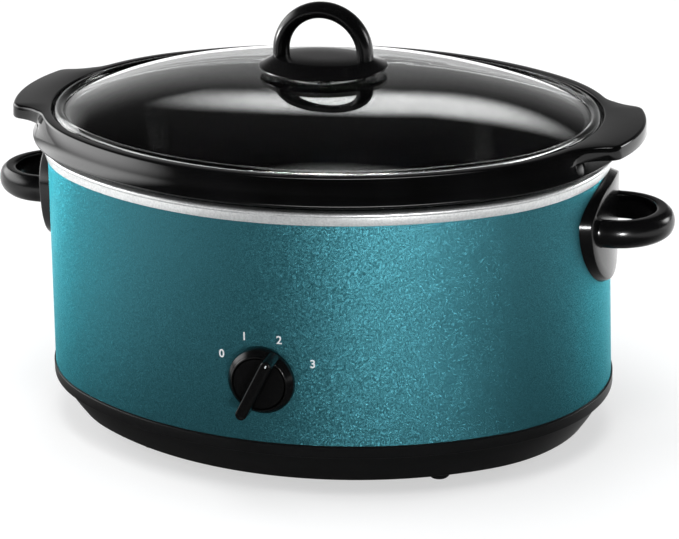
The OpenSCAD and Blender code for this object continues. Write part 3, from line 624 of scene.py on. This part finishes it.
# ---- Lid ----

BEAD_IN = 9.0
BEAD_R = 3.3
BEAD_Z = LEDGE_Z + 0.3 + BEAD_R
DOME_FOOT_Z = BEAD_Z + 1.2
DOME_RISE = 24.5
GLASS_T = 4.0
SCREW_R = 3.1


def dome_ring(bm, loop, before, share, drop):
    """The next ring of the dome, whose size is a share of the dome's foot."""
    edges, verts = grown(bm, loop)
    z = DOME_FOOT_Z + DOME_RISE * (1 - share ** 3) - drop
    for v in verts:
        v.co = (v.co.x * share / before, v.co.y * share / before, z)
    return edges


def round_ring(bm, loop, radius, z):
    """The next ring, which is a circle."""
    edges, verts = grown(bm, loop)
    for v in verts:
        v.co.xy *= radius / v.co.xy.length
        v.co.z = z
    return edges


def build_lid():
    """The glass dome from its rolled edge to the flat seat of its knob, round the screw's hole."""
    foot = -15.6
    bead = arc(-BEAD_IN - BEAD_R, BEAD_Z, BEAD_R, 215, 490, 26)
    section = [(foot, DOME_FOOT_Z - GLASS_T)] + bead + [(foot, DOME_FOOT_Z)]
    bm = bmesh.new()
    oval_sweep(bm, section, closed=False)
    shares = [1, 0.985, 0.96, 0.92, 0.87, 0.81, 0.74, 0.66, 0.57, 0.47, 0.37, 0.28]
    top = DOME_FOOT_Z + DOME_RISE
    under, over = open_loops(bm)
    for before, share in zip(shares, shares[1:]):
        under = dome_ring(bm, under, before, share, GLASS_T)
        over = dome_ring(bm, over, before, share, 0)
    for radius, z in ((26.5, top - 0.25), (25, top), (23.8, top + 0.5), (22.8, top + 1.4),
                      (21.8, SEAT_Z), (SCREW_R, SEAT_Z)):
        over = round_ring(bm, over, radius, z)
    for radius, z in ((26, top - GLASS_T), (SCREW_R, top - GLASS_T)):
        under = round_ring(bm, under, radius, z)
    bmesh.ops.bridge_loops(bm, edges=over + under)
    piece = piece_from("domed_lid", bm, "lid", GLASS, 60)
    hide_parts("glass_lid")


def lug_ring(bm, length, width, z):
    """A ring of the lid knob's base, given its half length and half width."""
    turns = [2 * math.pi * i / 96 for i in range(96)]
    ring = chain(bm, [(length * math.cos(a), width * math.sin(a), z) for a in turns], True)
    return edges_of(ring)


def build_lid_knob():
    """The lid's knob: an oval mound that an arch with straight feet stands on."""
    top = LUG_Z + 7
    rings = [(40.4, 34.9, 0), (40.85, 35.35, 0.15), (41, 35.5, 0.6), (40.85, 35.3, 1.1)]
    for i in range(1, 11):
        t = i / 10
        u = 1 - (1 - t) ** 1.15
        rings.append((40.85 - 8.05 * u, 35.3 - 14 * u, 1.1 + 4.8 * t))
    rings += [(32.5, 21, 6.05), (31.8, 20.4, 6.15), (27, 16.5, 6.6), (20, 12, 6.9), (12, 7, 7)]
    bm = bmesh.new()
    loops = [lug_ring(bm, length, width, LUG_Z + z) for length, width, z in rings]
    bridged(bm, loops)
    for loop in (loops[0], loops[-1]):
        bmesh.ops.contextual_create(bm, geom=loop)
    bmesh.ops.recalc_face_normals(bm, faces=bm.faces)
    arch = bmesh.new()
    shape = arc(27.5, 0, 5.1, 0, 348, 29, 7.5)
    ring = chain(arch, [(out, across, top - 4) for out, across in shape], True)
    edges, verts = grown(arch, edges_of(ring))
    bmesh.ops.translate(arch, vec=(0, 0, 6), verts=verts)
    ring = spun(arch, edges + verts, (0, 0, top + 2), (0, -1, 0), math.pi, 40)
    edges, verts = grown(arch, edges_of(ring))
    bmesh.ops.translate(arch, vec=(0, 0, -6), verts=verts)
    for loop in open_loops(arch):
        bmesh.ops.contextual_create(arch, geom=loop)
    joined(bm, arch)
    piece = piece_from("lid_handle", bm, "lid", KNOB_PLASTIC)
    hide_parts("lid_knob")


def joined(bm, other):
    """Adds another shape's closed surface to this one."""
    bmesh.ops.recalc_face_normals(other, faces=other.faces)
    mesh = bpy.data.meshes.new("joining")
    other.to_mesh(mesh)
    other.free()
    bm.from_mesh(mesh)
    bpy.data.meshes.remove(mesh)


# ---- Side handles ----

PAD_DROP = 46.0
PAD_HALF = 44.0
FACE_R = 150.0
PAD_Z = PAD_LOW + PAD_DROP
PAD_X = HALF_LEN + wrap_at(PAD_Z) + 5
LOOP_HALF = 8.75
LOOP_IN = 24.5
LOOP_R = 33.3
LOOP_Z = PAD_Z - 6.3
LOOP_X = PAD_X + 1.3
LOOP_SHIFT = HANDLE_TIP - LOOP_X - LOOP_R


def pad_face(y):
    """How far out the face of a handle's pad is, across its width."""
    return PAD_X - FACE_R + math.sqrt(FACE_R ** 2 - y ** 2)


def wrap_face(y, z):
    """How far out the wrap's end is, across its width."""
    return END_X + math.sqrt((END_R + wrap_at(z)) ** 2 - y ** 2)


def egg_ring(bm, inset, face):
    """Edges of the pad's egg outline, set in from its edge and back from its face, or on the
    wrap if no face is given."""
    verts = []
    for i in range(72):
        a = 2 * math.pi * i / 72
        y = (PAD_HALF - inset) * math.cos(a)
        z = PAD_Z + ((PAD_HIGH - PAD_Z if math.sin(a) > 0 else PAD_DROP) - inset) * math.sin(a)
        x = wrap_face(y, z) + 0.1 if face is None else pad_face(y) - face
        verts.append(bm.verts.new((x, y, z)))
    return [bm.edges.new((a, b)) for a, b in zip(verts, verts[1:] + verts[:1])]


def build_pad(bm):
    """A handle's pad, from the wrap to its face."""
    rings = [egg_ring(bm, 0, None)]
    rings += [egg_ring(bm, inset, face) for inset, face in
              ((1.6, 1.0), (1.75, 0.55), (2.05, 0.2), (2.6, 0.0), (8, 0.0), (18, 0.0), (30, 0.0))]
    bridged(bm, rings)
    bmesh.ops.contextual_create(bm, geom=rings[-1])
    bmesh.ops.contextual_create(bm, geom=rings[0])


def build_loop(bm):
    """A handle's loop: half a turn of its section, drawn out sideways, and two arms."""
    belly = arc(21.7, 0, 11.6, 36, -36, 14)
    shape = rounded([(LOOP_IN, -LOOP_HALF, 1.8), (LOOP_IN, LOOP_HALF, 1.8),
                     (29.3, LOOP_HALF, 1.6)] + belly + [(29.3, -LOOP_HALF, 1.6)], 4, True)
    places = [(LOOP_X, -out, LOOP_Z + up) for out, up in shape]
    ring = chain(bm, places, True)
    first = edges_of(ring)
    last = spun(bm, ring, (LOOP_X, 0, 0), UP, math.pi, 40)
    for v in bm.verts:
        way = Vector((v.co.x - LOOP_X, v.co.y))
        if way.x > 1e-6:
            share = min(1.0, (way.length - LOOP_IN) / 7)
            v.co.x += LOOP_SHIFT * share * (way.x / way.length) ** 1.5
    for loop in (first, edges_of(last)):
        edges = loop
        for step, size in ((3.2, 1.0), (1.6, 1.07), (1.4, 1.12), (2.2, 1.0)):
            edges, verts = grown(bm, edges)
            bmesh.ops.translate(bm, vec=(-step, 0, 0), verts=verts)
            flare(verts, size)
        bmesh.ops.contextual_create(bm, geom=edges)


def flare(verts, size):
    """Widens an arm's section about its own middle."""
    y = sum(v.co.y for v in verts) / len(verts)
    for v in verts:
        v.co.y = y + (v.co.y - y) * size
        v.co.z = LOOP_Z + (v.co.z - LOOP_Z) * size


def build_handle(name, node_name, side):
    """A side handle, at the right with side 1 and at the left with side -1."""
    bm = bmesh.new()
    build_pad(bm)
    bmesh.ops.recalc_face_normals(bm, faces=bm.faces)
    loop = bmesh.new()
    build_loop(loop)
    joined(bm, loop)
    bmesh.ops.scale(bm, vec=(side, 1, 1), verts=bm.verts)
    piece = piece_from(name, bm, "base", HANDLE_PLASTIC)
    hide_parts(node_name)


# ---- Knob, its mark and the numbers round it ----

KNOB_TURN = math.radians(-27)
KNOB_H = 19.0
KNOB_BACK = KNOB_FRONT - KNOB_H


def to_front(bm, turn=0.0):
    """Turns a shape built upright to face the front on the knob's axis."""
    stand = Matrix.Translation((0, 0, KNOB_Z)) @ Matrix.Rotation(math.pi / 2, 4, "X")
    bmesh.ops.transform(bm, matrix=stand @ Matrix.Rotation(turn, 4, "Z"), verts=bm.verts)


def build_knob():
    """The switch's knob: a skirted disc with a bar across it."""
    b = KNOB_BACK
    section = rounded([(12, b + 6), (18.5, b + 6), (18.5, b), (20.6, b), (21, b + 0.6, 0.4),
                       (20.7, b + 3.2, 1.4), (17.5, b + 6.9, 0.8), (16.9, b + 7), (16.6, b + 6),
                       (16.2, b + 6), (15.9, b + 7), (12, b + 7.3), (0, b + 7.5)], 4)
    bm = bmesh.new()
    lathe(bm, [(0, b + 6)] + section, steps=96)
    grip = bmesh.new()
    bar = rounded([(0, b + 4), (3.9, b + 4), (3.5, b + KNOB_H, 1.1), (2.2, b + 18.9, 0.4),
                   (0, b + 18.4)], 5)
    spread_sweep(grip, bar, 18.3)
    quarter = Matrix.Rotation(math.pi / 2, 3, "Z")
    bmesh.ops.rotate(grip, cent=(0, 0, 0), matrix=quarter, verts=grip.verts)
    joined(bm, grip)
    to_front(bm, KNOB_TURN)
    piece = piece_from("dial_knob", bm, "knob", KNOB_PLASTIC)
    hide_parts("control_knob")


def build_pointer():
    """White line in the front of the knob's bar, at its pointing end."""
    bm = bmesh.new()
    bmesh.ops.create_cube(bm, size=1)
    bmesh.ops.scale(bm, vec=(0.8, 2.2, 0.3), verts=bm.verts)
    bmesh.ops.bevel(bm, geom=bm.edges[:], offset=0.12, affect="EDGES", segments=2, profile=0.5,
                    material=-1)
    bmesh.ops.translate(bm, vec=(0, 19.2, KNOB_FRONT - 0.35), verts=bm.verts)
    to_front(bm, KNOB_TURN)
    piece_from("pointer_line", bm, "knob", PRINT)


def build_number(text, x, up):
    """One printed number on the wrap, beside or above the knob."""
    curve = bpy.data.curves.new("number_" + text, "FONT")
    curve.body = text
    curve.size = 7.2
    curve.align_x = "CENTER"
    curve.align_y = "CENTER"
    curve.extrude = 0.05
    curve.offset = 0.12
    letter = bpy.data.objects.new("number_" + text, curve)
    bpy.context.scene.collection.objects.link(letter)
    bm = bmesh.new()
    shaped = letter.evaluated_get(bpy.context.evaluated_depsgraph_get())
    mesh = bpy.data.meshes.new_from_object(shaped)
    bm.from_mesh(mesh)
    bpy.data.objects.remove(letter)
    bpy.data.meshes.remove(mesh)
    z = KNOB_Z + up
    face = SIDE_R + wrap_at(z)
    a = math.asin(x / face)
    lean = math.atan(WRAP_LEAN / WRAP_H)
    stand = Matrix.Rotation(math.pi / 2 - lean, 4, "X")
    turn = Matrix.Rotation(a, 4, "Z")
    place = Matrix.Translation((x, SIDE_Y - face * math.cos(a) - 0.04, z))
    bmesh.ops.transform(bm, matrix=place @ turn @ stand, verts=bm.verts)
    piece_from("printed_number_" + text, bm, "base", PRINT)


build_wrap()
build_well()
build_base()
build_crock()
build_lid()
build_lid_knob()
build_handle("right_handle", "handle_right", 1)
build_handle("left_handle", "handle_left", -1)
build_knob()
build_pointer()
for number, x, up in (("0", -26.5, 13), ("1", -11.4, 26), ("2", 10.6, 25.6), ("3", 30.9, 11.4)):
    build_number(number, x, up)

CAD_FINISHES = {
    "base_plastic": BASE_PLASTIC, "foot_rubber": FOOT_RUBBER, "teal_enamel": ENAMEL,
    "band_steel": BAND_STEEL, "plain_steel": PLAIN_STEEL, "heater_wrap": HEATER_WRAP,
    "fuse_ceramic": FUSE_CERAMIC, "lead_silicone": LEAD_SILICONE,
    "terminal_brass": TERMINAL_BRASS, "handle_plastic": HANDLE_PLASTIC,
    "switch_plastic": SWITCH_PLASTIC, "knob_plastic": KNOB_PLASTIC,
    "gland_plastic": GLAND_PLASTIC, "black_glaze": GLAZE, "clear_glass": GLASS,
    "seal_silicone": SEAL_SILICONE,
}
for cad_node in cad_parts.values():
    for slot in cad_node.material_slots:
        slot.material = CAD_FINISHES[slot.material.name]


# ---- Floor and light ----

def straight(tree):
    """One for rays that reach the camera without a mirrored bounce."""
    path = tree.nodes.new("ShaderNodeLightPath")
    either = maths(tree, "MAXIMUM", path.outputs["Is Camera Ray"],
                   path.outputs["Is Transmission Ray"])
    return maths(tree, "SUBTRACT", either, path.outputs["Glossy Depth"])


def mirrored(tree):
    """One for rays that have bounced off a mirroring surface."""
    path = tree.nodes.new("ShaderNodeLightPath")
    return maths(tree, "MINIMUM", path.outputs["Glossy Depth"], 1.0)


def give(tree, value, socket):
    """Gives a socket an even value, or links a changing one to it."""
    if isinstance(value, float):
        socket.default_value = value
    else:
        tree.links.new(value, socket)


def maths(tree, operation, one, other):
    """One operation on two values; a difference is kept between nought and one."""
    made = tree.nodes.new("ShaderNodeMath")
    made.operation = operation
    made.use_clamp = operation == "SUBTRACT"
    for value, socket in zip((one, other), made.inputs):
        give(tree, value, socket)
    return made.outputs[0]


def mixed(tree, fac, one, other):
    """Mixes two closures, with a share for the second."""
    mix = tree.nodes.new("ShaderNodeMixShader")
    give(tree, fac, mix.inputs["Fac"])
    tree.links.new(one, mix.inputs[1])
    tree.links.new(other, mix.inputs[2])
    return mix.outputs[0]


def glow(tree, kind, level):
    """A white glow."""
    made = tree.nodes.new(kind)
    made.inputs["Color"].default_value = (1, 1, 1, 1)
    give(tree, level, made.inputs["Strength"])
    return made.outputs[0]


def ramp(tree, value, start, end, least, most):
    """A smooth rise of a value between two limits."""
    rise = tree.nodes.new("ShaderNodeMapRange")
    rise.interpolation_type = "SMOOTHSTEP"
    rise.inputs["From Min"].default_value = start
    rise.inputs["From Max"].default_value = end
    rise.inputs["To Min"].default_value = least
    rise.inputs["To Max"].default_value = most
    tree.links.new(value, rise.inputs["Value"])
    return rise.outputs["Result"]


def along(tree, axis):
    """A place's own coordinate, or in the world a direction's, along an axis."""
    place = tree.nodes.new("ShaderNodeTexCoord")
    split = tree.nodes.new("ShaderNodeSeparateXYZ")
    tree.links.new(place.outputs["Generated" if "World Output" in tree.nodes else "Object"],
                   split.inputs[0])
    return split.outputs[axis]


def build_floor():
    """The white floor; the pieces mirror it at a level that changes from place to place: a painted
    reflection, a glow brighter towards the left, the right and the back that stands in for pools
    of lamp light on the floor.
    """
    bm = bmesh.new()
    bmesh.ops.create_grid(bm, x_segments=1, y_segments=1, size=6)
    mesh = bpy.data.meshes.new("floor")
    bm.to_mesh(mesh)
    bm.free()
    floor = bpy.data.objects.new("floor", mesh)
    bpy.context.scene.collection.objects.link(floor)
    finish = bpy.data.materials.new("floor_white")
    finish.use_nodes = True
    tree = finish.node_tree
    shader = tree.nodes["Principled BSDF"]
    shader.inputs["Base Color"].default_value = (0.9, 0.9, 0.9, 1)
    shader.inputs["Roughness"].default_value = 0.8
    lit = mixed(tree, 0.58, shader.outputs[0], glow(tree, "ShaderNodeEmission", 1.0))
    seen = mixed(tree, straight(tree), shader.outputs[0], lit)
    # Painted reflection: in mirrored rays the floor glows, brighter towards the left, the right
    # and the back, in place of lamp-lit patches.
    side = along(tree, "X")
    level = maths(tree, "MAXIMUM", ramp(tree, side, -0.15, -0.5, 0.05, 1.05),
                  ramp(tree, side, 0.38, 0.6, 0.05, 0.8))
    level = maths(tree, "MAXIMUM", level, ramp(tree, along(tree, "Y"), -0.1, 0.35, 0.05, 1.4))
    dim = mixed(tree, mirrored(tree), seen, glow(tree, "ShaderNodeEmission", level))
    tree.links.new(dim, tree.nodes["Material Output"].inputs["Surface"])
    mesh.materials.append(finish)


def build_world():
    """The white backdrop; the pieces mirror it dimmer, and unevenly."""
    world = bpy.data.worlds.new("studio")
    bpy.context.scene.world = world
    world.use_nodes = True
    tree = world.node_tree
    back = tree.nodes["Background"]
    back.inputs["Color"].default_value = (0.9, 0.93, 0.96, 1)
    back.inputs["Strength"].default_value = 0.35
    clear = glow(tree, "ShaderNodeBackground", 1.0)
    seen = mixed(tree, straight(tree), back.outputs[0], clear)
    level = maths(tree, "MULTIPLY", ramp(tree, along(tree, "Y"), 0.1, 0.8, 0.08, 0.62),
                  ramp(tree, along(tree, "Z"), 0.05, 0.5, 1.0, 0.08))
    level = maths(tree, "MULTIPLY", level, ramp(tree, along(tree, "X"), -0.5, 0.5, 1.0, 0.3))
    dim = mixed(tree, mirrored(tree), seen, glow(tree, "ShaderNodeBackground", level))
    tree.links.new(dim, tree.nodes["World Output"].inputs["Surface"])


def softbox(name, azimuth, elevation, distance, width, height, watts, glossy=True, only=None):
    """A rectangular light that faces the object from a direction and fades to its edges. It
    lights everything, or only the pieces named."""
    way = way_to(azimuth, elevation)
    lamp = bpy.data.lights.new(name, "AREA")
    lamp.shape = "RECTANGLE"
    lamp.size = width
    lamp.size_y = height
    lamp.energy = watts
    lamp.use_nodes = True
    tree = lamp.node_tree
    place = tree.nodes.new("ShaderNodeNewGeometry")
    middle = tree.nodes.new("ShaderNodeVectorMath")
    middle.operation = "DISTANCE"
    middle.inputs[1].default_value = (0.5, 0.5, 0)
    tree.links.new(place.outputs["Parametric"], middle.inputs[0])
    fade = ramp(tree, middle.outputs["Value"], 0.5, 0.15, 0, 2.6)
    tree.links.new(fade, tree.nodes["Emission"].inputs["Strength"])
    box = bpy.data.objects.new(name, lamp)
    box.matrix_world = Matrix.Translation(way * distance + Vector((0, 0, 0.12))) @ \
        way.to_track_quat("Z", "Y").to_matrix().to_4x4()
    box.visible_glossy = glossy
    if only:
        box.light_linking.receiver_collection = bpy.data.collections.new(name + "_pieces")
        for piece in only:
            box.light_linking.receiver_collection.objects.link(bpy.data.objects[piece])
    bpy.context.scene.collection.objects.link(box)


build_floor()
build_world()

# Each light's name, azimuth, elevation, distance, width, height and watts, in degrees and metres.
softbox("left_softbox", -92, 20, 1.6, 3.4, 1.3, 22)
softbox("right_softbox", 122, 15, 1.6, 0.8, 0.8, 6)
softbox("key_light", 26, 2, 1.6, 0.36, 0.24, 14,
        only=["painted_wrap", "well_and_band", "right_handle", "left_handle", "dial_knob"])
softbox("left_strip", -110, 2, 1.6, 0.6, 0.3, 32, only=["painted_wrap"])
softbox("right_strip", 146, 2, 1.6, 0.5, 0.24, 24, only=["painted_wrap"])
softbox("arch_light", -84, 8, 1.6, 0.9, 0.5, 24, only=["lid_handle"])
softbox("front_light", 17, 62, 1.8, 1.4, 0.8, 16, glossy=False)
softbox("bead_light", 17, 66, 1.8, 2.0, 0.3, 10, only=["domed_lid", "glazed_crock"])
softbox("edge_light", 5, 52, 1.8, 1.8, 0.2, 190, only=["domed_lid"])
softbox("top_light", 0, 88, 1.8, 1.6, 1.2, 17, glossy=False)
softbox("back_light", 190, 35, 1.8, 1.6, 0.6, 8, glossy=False)

view = bpy.context.scene.view_settings
view.view_transform = "Standard"
